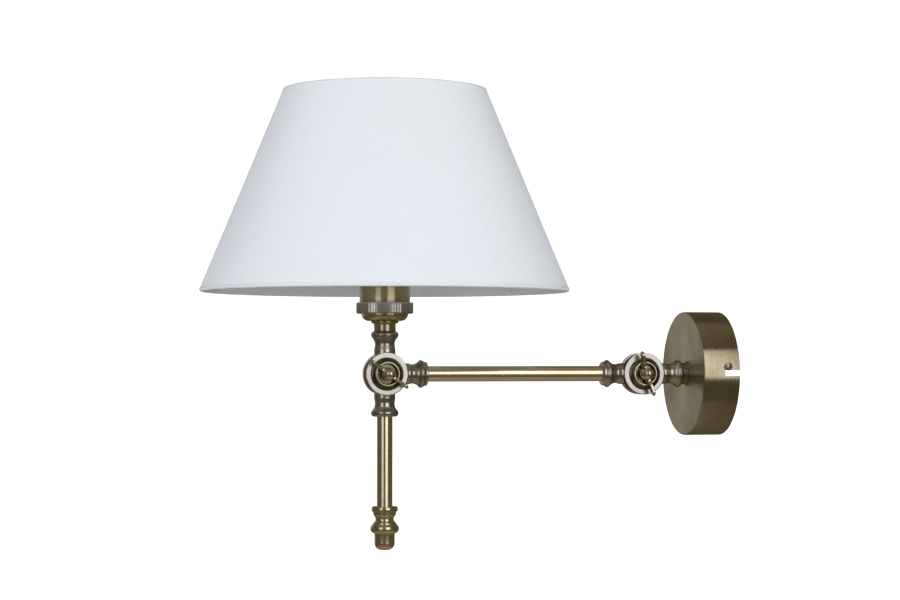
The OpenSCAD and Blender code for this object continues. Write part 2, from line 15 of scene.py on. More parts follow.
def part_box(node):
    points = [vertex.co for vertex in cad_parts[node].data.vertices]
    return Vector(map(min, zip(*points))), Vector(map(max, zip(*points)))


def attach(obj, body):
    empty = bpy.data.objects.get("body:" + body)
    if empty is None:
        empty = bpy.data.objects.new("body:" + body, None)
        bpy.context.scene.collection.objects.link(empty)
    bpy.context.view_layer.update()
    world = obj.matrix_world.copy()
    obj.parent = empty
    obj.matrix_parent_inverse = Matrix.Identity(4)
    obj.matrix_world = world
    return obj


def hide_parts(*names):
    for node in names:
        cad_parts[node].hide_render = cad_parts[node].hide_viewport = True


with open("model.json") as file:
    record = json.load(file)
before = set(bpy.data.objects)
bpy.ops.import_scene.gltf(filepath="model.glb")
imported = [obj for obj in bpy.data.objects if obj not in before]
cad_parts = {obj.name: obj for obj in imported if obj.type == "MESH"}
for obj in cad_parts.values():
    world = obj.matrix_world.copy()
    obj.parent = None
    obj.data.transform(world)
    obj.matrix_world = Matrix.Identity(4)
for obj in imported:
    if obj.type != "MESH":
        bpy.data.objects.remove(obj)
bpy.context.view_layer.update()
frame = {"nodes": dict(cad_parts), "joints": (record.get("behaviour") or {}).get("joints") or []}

MM = 0.001
TURN = 2 * math.pi


# ---------------------------------------------------------------- places

def joint_point(name):
    """A joint's point, in millimetres."""
    row = next(j for j in frame["joints"] if j["name"] == name)
    return Vector(row["pos_m"]) / MM


def node_box(name):
    """A node's lowest and highest corners, in millimetres."""
    low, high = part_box(name)
    return Vector(low) / MM, Vector(high) / MM


WALL_AXIS = joint_point("arm_tilt")
LAMP_AXIS = joint_point("lamp_tilt")

UP = Matrix.Identity(4)
DOWN = Matrix.Rotation(math.pi, 4, "X")
TO_WALL = Matrix.Rotation(-math.pi / 2, 4, "X")
TO_ROOM = Matrix.Rotation(math.pi / 2, 4, "X")
TO_SIDE = Matrix.Rotation(math.pi / 2, 4, "Y")
ORIGIN = Vector((0, 0, 0))

KNUCKLE_R = 17.5
KNUCKLE_HALF = 9.3


def at(point, turn=UP):
    """Placement that turns local Z with turn and moves the origin to point."""
    return Matrix.Translation(point) @ turn


# ---------------------------------------------------------------- outlines

def arc(centre, radius, start, end, steps=10):
    """Points of an arc in an outline, by its angles in degrees."""
    points = []
    for i in range(steps + 1):
        angle = math.radians(start + (end - start) * i / steps)
        points.append((centre[0] + radius * math.cos(angle), centre[1] + radius * math.sin(angle)))
    return points


def rounded(corners, steps=5):
    """An outline through (radius, height) corners; a third number is a corner's fillet radius."""
    points = []
    for i, corner in enumerate(corners):
        here = Vector(corner[:2])
        fillet = corner[2] if len(corner) > 2 else 0
        before = Vector(corners[i - 1][:2]) - here
        after = Vector(corners[(i + 1) % len(corners)][:2]) - here
        if not fillet or before.length < 1e-6 or after.length < 1e-6:
            points.append(tuple(here))
            continue
        half = before.angle(after) / 2
        reach = min(fillet / math.tan(half), before.length * 0.49, after.length * 0.49)
        first = here + before.normalized() * reach
        last = here + after.normalized() * reach
        for k in range(steps + 1):
            t = k / steps
            points.append(tuple(first * (1 - t) ** 2 + here * 2 * t * (1 - t) + last * t * t))
    return points


# ---------------------------------------------------------------- meshes

SHARP_DEG = 38


def shade_smooth(data, sharp=SHARP_DEG):
    """Smooth shading, with hard edges where faces meet at more than sharp degrees."""
    data.polygons.foreach_set("use_smooth", [True] * len(data.polygons))
    data.set_sharp_from_angle(angle=math.radians(sharp))


def finish_mesh(mesh, name, sharp=SHARP_DEG):
    """An object in the scene from a bmesh in millimetres, with clean normals."""
    bmesh.ops.remove_doubles(mesh, verts=mesh.verts, dist=1e-4)
    bmesh.ops.recalc_face_normals(mesh, faces=mesh.faces)
    data = bpy.data.meshes.new(name)
    mesh.to_mesh(data)
    mesh.free()
    data.transform(Matrix.Scale(MM, 4))
    shade_smooth(data, sharp)
    piece = bpy.data.objects.new(name, data)
    bpy.context.collection.objects.link(piece)
    return piece


def add_lathe(mesh, outline, place, segments=96, closed=True, swell=None):
    """Revolves an outline round local Z into mesh. swell(angle, r, z) may change a radius."""
    rings = []
    for r, z in outline:
        if r < 1e-6:
            rings.append([mesh.verts.new(place @ Vector((0, 0, z)))])
            continue
        ring = []
        for i in range(segments):
            angle = TURN * i / segments
            radius = swell(angle, r, z) if swell else r
            ring.append(mesh.verts.new(
                place @ Vector((radius * math.cos(angle), radius * math.sin(angle), z))))
        rings.append(ring)
    pairs = list(zip(rings, rings[1:]))
    if closed:
        pairs.append((rings[-1], rings[0]))
    for low, high in pairs:
        if len(low) == 1 and len(high) == 1:
            continue
        for i in range(segments):
            k = (i + 1) % segments
            face = [low[i % len(low)], low[k % len(low)], high[k % len(high)], high[i % len(high)]]
            mesh.faces.new(list(dict.fromkeys(face)))


def lathe(name, outline, place, **options):
    """An object made by add_lathe alone."""
    mesh = bmesh.new()
    add_lathe(mesh, outline, place, **options)
    return finish_mesh(mesh, name)


def solid_profile(points):
    """Closes an outline that runs from the axis to the axis."""
    return [(0, points[0][1])] + points + [(0, points[-1][1])]


def apply_modifiers(piece):
    """Makes the shape that a piece's modifiers give its own mesh."""
    bpy.context.view_layer.update()
    shown = piece.evaluated_get(bpy.context.evaluated_depsgraph_get())
    data = bpy.data.meshes.new_from_object(shown)
    piece.modifiers.clear()
    piece.data = data


def fuse(piece, voxel, passes):
    """Melts a piece's overlapping shells into one skin, with soft inner corners."""
    remesh = piece.modifiers.new("melt", "REMESH")
    remesh.mode = "VOXEL"
    remesh.voxel_size = voxel * MM
    smooth = piece.modifiers.new("soften", "SMOOTH")
    smooth.factor = 0.5
    smooth.iterations = passes
    apply_modifiers(piece)


def combine(piece, tool, operation):
    """Applies one exact boolean to piece and deletes the tool."""
    step = piece.modifiers.new("combine", "BOOLEAN")
    step.operation = operation
    step.object = tool
    step.solver = "EXACT"
    apply_modifiers(piece)
    bpy.data.objects.remove(tool)


def carve(piece, *tools):
    """Cuts tools out of piece."""
    for tool in tools:
        combine(piece, tool, "DIFFERENCE")
    shade_smooth(piece.data)


def block(low, high):
    """A box between two corners, used only to cut."""
    mesh = bmesh.new()
    bmesh.ops.create_cube(mesh, size=1)
    size = Vector(high) - Vector(low)
    middle = (Vector(high) + Vector(low)) / 2
    for v in mesh.verts:
        v.co = Vector([v.co[i] * size[i] for i in range(3)]) + middle
    return finish_mesh(mesh, "tool")


def drum(radius, z0, z1, place, segments=128):
    """A plain cylinder along local Z, used only to cut."""
    return lathe("tool", [(0, z0), (radius, z0), (radius, z1), (0, z1)], place,
                 segments=segments, closed=False)


# ---------------------------------------------------------------- materials

class Shader:
    """A material's node tree, with short calls for the nodes that the finishes share."""

    def __init__(self, name):
        self.material = bpy.data.materials.new(name)
        self.material.use_nodes = True
        self.tree = self.material.node_tree
        self.surface = self.tree.nodes["Principled BSDF"]
        self.place = self.add("ShaderNodeTexCoord").outputs["Object"]

    def feed(self, socket, value):
        """Links an output to a socket, or sets the socket to a constant."""
        if isinstance(value, bpy.types.NodeSocket):
            self.tree.links.new(value, socket)
        else:
            socket.default_value = value

    def add(self, kind, inputs=None, **settings):
        """A new node with its settings, and its inputs by name or number."""
        made = self.tree.nodes.new(kind)
        for key, value in settings.items():
            setattr(made, key, value)
        for key, value in (inputs or {}).items():
            self.feed(made.inputs[key], value)
        return made

    def set(self, **values):
        """Feeds the surface's inputs, with _ for each space in a name."""
        for key, value in values.items():
            self.feed(self.surface.inputs[key.replace("_", " ")], value)

    def maths(self, operation, a, b=0.0):
        return self.add("ShaderNodeMath", {0: a, 1: b}, operation=operation).outputs[0]

    def vector(self, x, y, z):
        return self.add("ShaderNodeCombineXYZ", {0: x, 1: y, 2: z}).outputs[0]

    def distance(self, a, b):
        """Length of the flat vector (a, b)."""
        return self.add("ShaderNodeVectorMath", {0: self.vector(a, b, 0.0)},
                        operation="LENGTH").outputs["Value"]

    def split(self, source):
        return self.add("ShaderNodeSeparateXYZ", {0: source}).outputs

    def noise(self, scale, detail, where=None, rough=0.55):
        made = self.add("ShaderNodeTexNoise", {
            "Vector": where or self.place, "Scale": scale, "Detail": detail, "Roughness": rough})
        return made.outputs["Fac"]

    def remap(self, value, low, high, to_low, to_high):
        return self.add("ShaderNodeMapRange", {
            0: value, 1: low, 2: high, 3: to_low, 4: to_high}).outputs[0]

    def mix(self, fac, a, b):
        """Colour a where fac is 0 and b where it is 1."""
        return self.add("ShaderNodeMix", {0: fac, 6: a, 7: b}, data_type="RGBA").outputs[2]

    def bump(self, height, depth_mm, strength, under=None):
        inputs = {"Height": height, "Distance": depth_mm * MM, "Strength": strength}
        if under is not None:
            inputs["Normal"] = under
        return self.add("ShaderNodeBump", inputs).outputs[0]


def rgb(colour, share=1.0):
    """A colour times share, as a shader takes it."""
    return (*[min(1.0, c * share) for c in colour], 1.0)


def aged_brass(name, bright, dull, rough, grain, marks=None, axis=None, drawn=0.0, lines=0.2,
               along_x=None, rim=None):
    """Antique brass: mottled patina, hollows darkened by patina and by painted shade, rubbed edges
    and tool marks.

    marks is the spacing of the lathe or brush marks in mm, axis the line that they run round,
    drawn how far they stretch the highlights across themselves and lines how dark they are.
    along_x is (x0, x1, colour): the metal has that colour at x0 mm and fades to its own at x1.
    rim is (radius, colour): a painted reflection, a band of that colour at that radius from the
    axis in mm.
    """
    s = Shader(name)
    patina = s.noise(55, 4)
    fleck = s.noise(900, 3)
    hollow = s.add("ShaderNodeNewGeometry").outputs["Pointiness"]
    colour = s.mix(s.remap(patina, 0.35, 0.68, 0, 1), rgb(dull), rgb(bright))
    colour = s.mix(s.remap(fleck, 0.58, 0.74, 0, 0.25), colour, rgb(dull, 0.45))
    # Partly painted shade: hollows and creases darken, both for the patina that gathers there and
    # for the shade that falls there.
    colour = s.mix(s.remap(hollow, 0.40, 0.485, 0.75, 0), colour, rgb(dull, 0.35))
    colour = s.mix(s.remap(hollow, 0.53, 0.62, 0, 0.5), colour, rgb(bright, 1.35))
    roughness = s.remap(patina, 0.3, 0.7, rough * 1.08, rough * 0.94)
    normal = s.bump(s.noise(grain, 3), 0.006, 0.3)
    x, y, z = s.split(s.place)
    # The washers and wing screws use this for painted shade deep in the cup, and the knuckles for
    # their paler front face.
    if along_x:
        x0, x1, tone = along_x
        colour = s.mix(s.remap(x, x0 * MM, x1 * MM, 0.9, 0), colour, rgb(tone))
    if axis == "Z":
        off = s.maths("SUBTRACT", y, LAMP_AXIS.y * MM)
        across = s.distance(x, off)
        along = z
    elif axis == "Y":
        finer = 3.0
        across = s.distance(s.maths("MULTIPLY", x, finer), s.maths("MULTIPLY", z, finer))
        along = y
    elif axis == "X":
        near = s.maths("MINIMUM", *[s.maths("ABSOLUTE", s.maths("SUBTRACT", y, centre.y * MM))
                                    for centre in (WALL_AXIS, LAMP_AXIS)])
        across = s.distance(near, z)
        along = x
    # Painted reflection: a pale band round the axis at the rim radius, on the knuckle discs' round
    # sides.
    if rim:
        radius, tone = rim
        inside = s.remap(across, (radius - 0.9) * MM, (radius - 0.4) * MM, 0, 0.85)
        outside = s.remap(across, (radius + 0.1) * MM, (radius + 0.4) * MM, 1, 0)
        colour = s.mix(s.maths("MULTIPLY", inside, outside), colour, rgb(tone))
    if marks:
        pitch = 1 / (marks * MM)
        strokes = s.vector(s.maths("MULTIPLY", across, pitch),
                           s.maths("MULTIPLY", along, pitch), 0.0)
        wander = 14
        drift = s.add("ShaderNodeVectorMath", {0: s.place, 1: (wander, wander, wander)},
                      operation="MULTIPLY").outputs[0]
        strokes = s.add("ShaderNodeVectorMath", {0: strokes, 1: drift}, operation="ADD").outputs[0]
        brushed = s.noise(1.0, 3, where=strokes, rough=0.7)
        colour = s.mix(s.remap(brushed, 0.3, 0.7, 0.0, lines), colour, rgb(dull, 0.6))
        roughness = s.maths("ADD", roughness, s.remap(brushed, 0.3, 0.7, -0.015, 0.02))
        normal = s.bump(brushed, 0.012, 0.4, normal)
        s.set(Anisotropic=drawn, Anisotropic_Rotation=0.25, Tangent=s.add(
            "ShaderNodeTangent", direction_type="RADIAL", axis=axis).outputs[0])
    s.set(Base_Color=colour, Metallic=1.0, Roughness=roughness, Normal=normal)
    return s.material


def plain_metal(name, colour, rough, grain=600):
    """Plated or bare metal under a faint uneven film."""
    s = Shader(name)
    film = s.noise(grain * 0.2, 5)
    tint = s.mix(s.remap(film, 0.35, 0.7, 0, 0.5), rgb(colour), rgb(colour, 0.72))
    s.set(Base_Color=tint, Metallic=1.0,
          Roughness=s.remap(film, 0.3, 0.7, rough * 0.8, rough * 1.3),
          Normal=s.bump(s.noise(grain, 4), 0.02, 0.4))
    return s.material


def moulded(name, colour, rough, grain=1500, depth=0.02, clear=0.0):
    """Plastic, glaze, fibre or paint: a faint mottle and a fine orange peel."""
    s = Shader(name)
    mottle = s.noise(40, 4)
    tint = s.mix(s.remap(mottle, 0.35, 0.7, 0, 0.4), rgb(colour), rgb(colour, 0.86))
    s.set(Base_Color=tint, Roughness=s.remap(mottle, 0.3, 0.7, rough * 0.85, rough * 1.15),
          Coat_Weight=clear, Normal=s.bump(s.noise(grain, 3), depth, 0.5))
    return s.material


def woven(name, colour, thread_mm, depth_mm):
    """Plain weave on the piece's own (along, up) coordinates in metres, with slubs."""
    s = Shader(name)
    cloth = s.add("ShaderNodeUVMap", uv_map="cloth").outputs[0]
    u, v, _ = s.split(cloth)
    pitch = math.pi / (thread_mm * MM)
    warp = s.maths("SINE", s.maths("MULTIPLY", u, pitch))
    weft = s.maths("SINE", s.maths("MULTIPLY", v, pitch))
    cross = s.maths("MULTIPLY", warp, weft)
    fine, slow = 900, 14
    slub_v = s.noise(1.0, 3, where=s.vector(
        s.maths("MULTIPLY", u, fine), s.maths("MULTIPLY", v, slow), 0.0))
    slub_u = s.noise(1.0, 3, where=s.vector(
        s.maths("MULTIPLY", u, slow), s.maths("MULTIPLY", v, fine), 3.0))
    slub = s.maths("ADD", slub_u, slub_v)
    cloud = s.noise(9, 3)
    tint = s.mix(s.remap(slub, 0.8, 1.25, 0, 0.30), rgb(colour), rgb(colour, 0.88))
    tint = s.mix(s.remap(cloud, 0.35, 0.7, 0, 0.18), tint, rgb(colour, 0.93))
    weave = s.bump(s.remap(cross, -1, 1, 0, 1), depth_mm, 0.6)
    s.set(Base_Color=tint, Roughness=0.92, Sheen_Weight=0.25, Sheen_Roughness=0.5,
          Specular_IOR_Level=0.25, Normal=s.bump(slub, depth_mm * 1.6, 0.45, weave))
    return s.material


# Painted shade, for the parts that lie deep in the cup washers.
PAINTED_SHADE = (0.10, 0.085, 0.065)
SILVERY = (0.43, 0.42, 0.395)
# The near-white rim colour is a painted reflection on the knuckle discs' round sides.
CAST = aged_brass("antique cast brass", (0.60, 0.57, 0.51), (0.38, 0.35, 0.30), 0.235, 420,
                  axis="X", along_x=(9.24, 8.9, SILVERY), rim=(KNUCKLE_R, (0.92, 0.90, 0.86)))
TURNED = aged_brass("antique turned brass", (0.78, 0.69, 0.49), (0.62, 0.53, 0.36), 0.20, 700,
                    marks=0.5, axis="Z", drawn=0.2, lines=0.12)
RING = aged_brass("antique ring brass", (0.88, 0.83, 0.83), (0.66, 0.61, 0.61), 0.22, 700,
                  marks=0.5, axis="Z")
# The washer's floor, deep in its cup, fades to painted shade.
WASHER = aged_brass("antique washer brass", (0.70, 0.63, 0.50), (0.52, 0.45, 0.32), 0.24, 700,
                    marks=0.4, axis="X", drawn=0.6, along_x=(10.0, 12.0, PAINTED_SHADE))
# The wing screw's shaft and wing roots inside the cup fade to painted shade.
WING = aged_brass("antique wing brass", (0.76, 0.68, 0.52), (0.56, 0.48, 0.34), 0.22, 700,
                  along_x=(10.5, 14.0, PAINTED_SHADE))
TUBE = aged_brass("antique tube brass", (0.68, 0.60, 0.44), (0.56, 0.48, 0.32), 0.19, 900)
HOLDER = aged_brass("antique holder brass", (0.74, 0.66, 0.47), (0.56, 0.48, 0.31), 0.23, 900,
                    marks=0.4, axis="Z", drawn=0.8)
CANOPY = aged_brass("antique canopy brass", (0.53, 0.47, 0.34), (0.42, 0.37, 0.25), 0.27, 900,
                    marks=0.7, axis="Y", drawn=0.9, lines=0.3)
BRIGHT = plain_metal("bright brass", (0.78, 0.62, 0.30), 0.28)
ZINC = plain_metal("zinc plated steel", (0.62, 0.63, 0.64), 0.34, 800)
DARK_STEEL = plain_metal("dark screw steel", (0.42, 0.41, 0.38), 0.30, 900)
CONNECTOR = moulded("connector plastic", (0.80, 0.80, 0.76), 0.45)
FIBRE = moulded("vulcanised fibre", (0.11, 0.06, 0.04), 0.75, 900, 0.04)
PORCELAIN = moulded("glazed porcelain", (0.82, 0.81, 0.76), 0.22, 300, 0.02, 0.6)
CLAMP = moulded("clamp ring plastic", (0.82, 0.82, 0.79), 0.42)
PAINT = moulded("white powder coat", (0.82, 0.82, 0.81), 0.38, 1800, 0.04)
LINER = moulded("shade liner plastic", (0.80, 0.79, 0.72), 0.6, 1200, 0.03)
BROWN = moulded("brown insulation", (0.20, 0.09, 0.04), 0.42)
BLUE = moulded("blue insulation", (0.04, 0.13, 0.45), 0.42)
GREEN = moulded("green insulation", (0.14, 0.38, 0.05), 0.42)
WHITE = moulded("white insulation", (0.78, 0.78, 0.75), 0.45)
CLOTH = woven("white shade cloth", (0.86, 0.88, 0.89), 0.55, 0.05)

NODE_FINISH = {
    "canopy_screws": DARK_STEEL, "mounting_bracket": ZINC, "nipple_washer": ZINC,
    "terminal_screws": ZINC, "tie_rod": ZINC, "wall_nipple": BRIGHT, "nipple_nut": BRIGHT,
    "terminal_sleeves": BRIGHT, "earth_screw": BRIGHT, "holder_nipple": BRIGHT,
    "holder_nut": BRIGHT, "holder_terminals": BRIGHT, "screw_shell": BRIGHT,
    "centre_contact": BRIGHT, "terminal_block": CONNECTOR, "live_lead": BROWN,
    "neutral_lead": BLUE, "earth_lead": GREEN, "arm_leads": WHITE, "stem_leads": WHITE,
    "wall_friction_washer": FIBRE, "lamp_friction_washer": FIBRE, "holder_insert": PORCELAIN,
    "shade_clamp_ring": CLAMP, "shade_fitter": PAINT, "fitter_spokes": PAINT,
    "shade_bottom_wire": PAINT, "shade_top_wire": PAINT,
    "arm_tube": TUBE, "lower_tube": TUBE,
}


def wear(piece, material):
    """Gives a piece one material."""
    piece.data.materials.clear()
    piece.data.materials.append(material)


def dress_frame():
    """Puts a finish on every CAD node that stays in view."""
    for name, material in NODE_FINISH.items():
        for slot in frame["nodes"][name].material_slots:
            slot.material = material


def stand_for(piece, node, body, material):
    """A piece that takes a CAD node's place."""
    wear(piece, material)
    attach(piece, body)
    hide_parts(node)


# ---------------------------------------------------------------- canopy

def build_canopy():
    """The drawn cup and its two bayonet slots, each an entry, a leg and a round end."""
    low, high = node_box("canopy_cover")
    radius, depth = high.x, -low.y
    wall, hole_r = 1.2, 4.8
    slot_depth, slot_width, slot_z = 12.7, 4.7, 0.6
    lock_y, lock_z = -10.4, 5.96
    slot_half = slot_width / 2
    reach = 4
    canopy = lathe("canopy", rounded([
        (radius - wall, 0, 0.3), (radius, 0, 0.3), (radius, depth, 1.1), (hole_r, depth),
        (hole_r, depth - wall), (radius - wall, depth - wall, 1.0),
    ], 6), at(ORIGIN, TO_ROOM), segments=320)
    for turn in (UP, Matrix.Rotation(math.pi, 4, "Y")):
        entry = block((radius - reach, -slot_depth, slot_z - slot_half),
                      (radius + reach, 1, slot_z + slot_half))
        leg = block((radius - reach, lock_y - slot_half, slot_z),
                    (radius + reach, lock_y + slot_half, lock_z))
        end = drum(slot_half, -reach, reach, at(Vector((radius, lock_y, lock_z)), TO_SIDE),
                   segments=48)
        for tool in (entry, leg, end):
            tool.matrix_world = turn
        carve(canopy, entry, leg, end)
    stand_for(canopy, "canopy_cover", "wall_plate", CANOPY)


# ---------------------------------------------------------------- knuckles

HALF_GAP = 0.2
CLEAR_R = KNUCKLE_R + 0.3
CLEAR_X = 30
SEAT_R = 13.6
SEAT_X = 7.5
NECK_FOOT_R = 8.7
NECK_START = 13
BEAD_END = 34.5
COLLAR_END = 34.6
CAST_VOXEL = 0.27
WING_VOXEL = 0.22


def neck_root(foot_end, waist_r, waist_at):
    """Outline from inside the knuckle to the waist: a straight foot and a soft taper."""
    return rounded([(NECK_FOOT_R, NECK_START), (NECK_FOOT_R, foot_end, 1.2),
                    (waist_r, waist_at - 0.8, 1.2), (waist_r, waist_at)])


def bead_neck_outline(foot=None):
    """A neck that ends in a round bead. foot is how far its end runs on, to the canopy."""
    tip_r = 9.0
    waist_r, waist_at, cove, mid, bead, bead_r = 8.07, 24.0, 7.6, 8.2, 31.7, 3.05
    points = neck_root(19.6, waist_r, waist_at)
    points += arc((waist_r + cove, waist_at), cove, 178, 133, 12)
    points += arc((mid, bead), bead_r, -34, 68, 14)
    if foot:
        points += [(tip_r + 0.1, BEAD_END + 0.1), (tip_r, BEAD_END + 0.5), (tip_r, foot)]
    else:
        points.append((tip_r, BEAD_END))
    return solid_profile(points)


def collar_neck_outline():
    """A neck that ends in the collar that holds the arm's tube."""
    waist_r, waist_at, cove = 7.87, 22.4, 7.9
    points = neck_root(19.3, waist_r, waist_at)
    points += arc((waist_r + cove, waist_at), cove, 178, 130, 12)
    points += rounded([(10.9, 28.55), (11.38, 29.6, 0.6), (11.3, 30.4, 0.6), (10.15, 32.3, 0.4),
                       (9.55, 32.55, 0.15), (9.75, 32.8, 0.1), (9.75, COLLAR_END - 0.3, 0.2),
                       (9.45, COLLAR_END)])
    return solid_profile(points)


def front_disc_outline():
    """The disc that the wing screw clamps.

    Known fault: its back is a cone out to the rim, and should be a cylinder.
    """
    edge = rounded([(KNUCKLE_R, HALF_GAP), (KNUCKLE_R, KNUCKLE_HALF, 0.7), (1, KNUCKLE_HALF)])
    return [(0, HALF_GAP)] + edge[1:] + [(0, KNUCKLE_HALF)]


def rear_disc_outline():
    """The rear disc: a round edge and a shallow groove in its back."""
    back, edge, groove = -KNUCKLE_HALF, 4.5, 0.6
    points = [(0, -HALF_GAP), (KNUCKLE_R, -HALF_GAP)]
    points += arc((KNUCKLE_R - edge, back + edge), edge, 0, -90, 14)
    points += [(9.6, back), (9.2, back + groove), (5.8, back + groove), (5.4, back), (0, back)]
    return points


def other_side(centre, side):
    """The space of the other knuckle half, used only to cut."""
    ends = sorted((-side * CLEAR_X, side * HALF_GAP))
    return drum(CLEAR_R, *ends, at(centre, TO_SIDE))


def casting(name, centre, disc, necks, side, seat):
    """A knuckle half: a disc fused with its necks. side is the sign of X that it lies on."""
    piece = lathe(name, disc, at(centre, TO_SIDE), segments=128, closed=False)
    for outline, turn in necks:
        neck = lathe("neck", outline, at(centre, turn), segments=96, closed=False)
        carve(neck, other_side(centre, side))
        combine(piece, neck, "UNION")
    fuse(piece, CAST_VOXEL, 3)
    cuts = [other_side(centre, side)]
    if seat:
        cuts.append(drum(SEAT_R, SEAT_X, 20, at(centre, TO_SIDE)))
    carve(piece, *cuts)
    return piece


def build_knuckles():
    """The four knuckle halves. The wall knuckle's neck runs on to the canopy."""
    neck_end = -node_box("canopy_cover")[0].y
    foot = -WALL_AXIS.y - neck_end
    wall_front = casting("wall_knuckle_front_cast", WALL_AXIS, front_disc_outline(),
                         [(bead_neck_outline(foot), TO_WALL)], 1, True)
    stand_for(wall_front, "wall_knuckle_front", "wall_plate", CAST)
    wall_rear = casting("wall_knuckle_rear_cast", WALL_AXIS, rear_disc_outline(),
                        [(collar_neck_outline(), TO_ROOM)], -1, False)
    stand_for(wall_rear, "wall_knuckle_rear", "arm", CAST)
    lamp_rear = casting("lamp_knuckle_rear_cast", LAMP_AXIS, rear_disc_outline(),
                        [(collar_neck_outline(), TO_WALL)], -1, False)
    stand_for(lamp_rear, "lamp_knuckle_rear", "arm", CAST)
    lamp_front = casting("lamp_knuckle_front_cast", LAMP_AXIS, front_disc_outline(),
                         [(bead_neck_outline(), UP), (bead_neck_outline(), DOWN)], 1, True)
    stand_for(lamp_front, "lamp_knuckle_front", "lamp", CAST)


def build_cup_washer(name, node, centre, body):
    """A turned cup in the front disc's seat, with a round rim."""
    bore_r = 3.1
    rim_r, rim_mid, rim_x, floor_x = 1.15, 9.25, 12.0, 8.8
    outline = [(bore_r, SEAT_X), (SEAT_R - 0.3, SEAT_X), (SEAT_R - 0.2, SEAT_X + 0.2)]
    outline += arc((SEAT_R + 0.3, 12.4), 3.6, -98, -173, 14)
    outline += arc((rim_mid, rim_x), rim_r, 0, 180, 14)
    outline += [(rim_mid - rim_r, floor_x + 0.3), (rim_mid - rim_r - 0.3, floor_x),
                (bore_r, floor_x)]
    washer = lathe(name, outline, at(centre, TO_SIDE), segments=160)
    stand_for(washer, node, body, WASHER)


def wing_outline(steps=8):
    """Half of one wing from above: (out from the axis, along X) corners, round at the tip."""
    tip_out, tip_x, tip_r = 15.8, 18.0, 3.4
    points = [(2.0, 12.3), (6.0, 13.0), (10.0, 13.7)]
    points += [(out, x) for out, x in arc((tip_out, tip_x), tip_r, -78, 118, steps)]
    points += [(9.5, 19.6), (6.5, 17.6), (2.0, 17.2)]
    return points


def build_wing_screw(name, node, centre, body, angle):
    """A turned screw with a ball end and two thin wings, turned by angle in degrees."""
    mesh = bmesh.new()
    ball_x, ball_r = 19.0, 5.0
    middle = Vector((9.5, 16.2))
    root_half, thinning, wing_reach = 1.25, 0.35, 18
    # Each layer's height as a multiple of the taper, and how far its edge is drawn in.
    layers = ((-1.2, 0.5), (-0.8, 0.0), (0.8, 0.0), (1.2, 0.5))
    shaft_r, collar_r, tip_x = 2.9, 5.2, -7.3
    shaft = [(0, tip_x), (shaft_r, tip_x), (shaft_r, 8.9), (4.9, 8.95), (collar_r, 9.3),
             (collar_r, 13.2), (4.9, 13.7), (3.9, 14.9), (3.7, 15.4)]
    ball = arc((0, ball_x), ball_r, -40, 90, 16)
    add_lathe(mesh, shaft + ball[:-1] + [(0, ball_x + ball_r)], at(centre, TO_SIDE), segments=72,
              closed=False)
    for turn in (0, math.pi):
        spin = Matrix.Rotation(turn - math.radians(angle), 4, "X")
        rows = []
        for height, inset in layers:
            row = []
            for out, x in wing_outline():
                spot = Vector((out, x))
                spot += (middle - spot).normalized() * inset
                taper = root_half - thinning * spot.x / wing_reach
                row.append(mesh.verts.new(
                    Matrix.Translation(centre) @ spin @ Vector((spot.y, spot.x, height * taper))))
            rows.append(row)
        count = len(rows[0])
        for low, high in zip(rows, rows[1:]):
            for i in range(count):
                k = (i + 1) % count
                mesh.faces.new([low[i], low[k], high[k], high[i]])
        mesh.faces.new(rows[0][::-1])
        mesh.faces.new(rows[-1])
    piece = finish_mesh(mesh, name)
    fuse(piece, WING_VOXEL, 3)
    shade_smooth(piece.data, sharp=60)
    stand_for(piece, node, body, WING)


# ---------------------------------------------------------------- stem

# Heights are above the lamp knuckle's axis.
STEM_BORE_R = 4.85
SPACER_FOOT = 34.55
DOME_FOOT = 42.9
RING_FOOT = 48.8
RING_TOP = 58.0
RING_R = 23.2
SLEEVE_R = 20.5
THREAD_FOOT = 78.4
THREAD_TOP = 90


def build_spacer():
    """The neck and flange between the knuckle and the lampholder."""
    neck_r, neck_top, cove = 8.9, 39.6, 1.5
    outline = rounded([(STEM_BORE_R, SPACER_FOOT), (neck_r, SPACER_FOOT, 0.4), (neck_r, neck_top)])
    outline += arc((neck_r + cove, neck_top), cove, 180, 100, 6)
    outline += rounded([(10.3, 41.1), (11.4, 41.7, 0.3), (11.4, 42.3, 0.3), (10.7, DOME_FOOT)])[1:]
    outline += [(STEM_BORE_R, DOME_FOOT)]
    piece = lathe("holder_neck", outline, at(LAMP_AXIS), segments=128)
    stand_for(piece, "holder_spacer", "lamp", HOLDER)


def build_dome():
    """The lampholder's lower cap: a thin round shell, with a skirt that goes inside the ring."""
    bend, round_r, skirt_r, wall = 13.1, 5.9, 19.4, 1.0
    inner_r = skirt_r - wall
    outline = [(STEM_BORE_R, DOME_FOOT), (12.2, DOME_FOOT)]
    outline += arc((bend, RING_FOOT), round_r, -90, 0, 18)
    outline += [(skirt_r, RING_FOOT), (skirt_r, 53.6), (inner_r, 53.8), (inner_r, RING_FOOT)]
    outline += arc((bend, RING_FOOT), round_r - wall, 0, -90, 14)
    outline += [(STEM_BORE_R, DOME_FOOT + wall)]
    piece = lathe("holder_cap", outline, at(LAMP_AXIS), segments=160)
    stand_for(piece, "holder_dome", "lamp", HOLDER)


FLUTES = 7
FLUTE_HALF = math.radians(16.8)
FLUTE_DEPTH = 0.65
FIRST_FLUTE = math.radians(-12.2)
RIBS = 3
RIB_DEPTH = 0.7
FLUTED_FROM_R = 22


def ring_radius(angle, r, z):
    """Concave flutes with groups of fine ribs between them, on the outer face only."""
    if r < FLUTED_FROM_R:
        return r
    period = TURN / FLUTES
    off = (angle - FIRST_FLUTE + period / 2) % period - period / 2
    if abs(off) < FLUTE_HALF:
        return r - FLUTE_DEPTH * (1 - (off / FLUTE_HALF) ** 2)
    across = (abs(off) - FLUTE_HALF) / (period - 2 * FLUTE_HALF)
    return r - RIB_DEPTH * (1 - abs(math.cos(math.pi * RIBS * across)) ** 0.7)


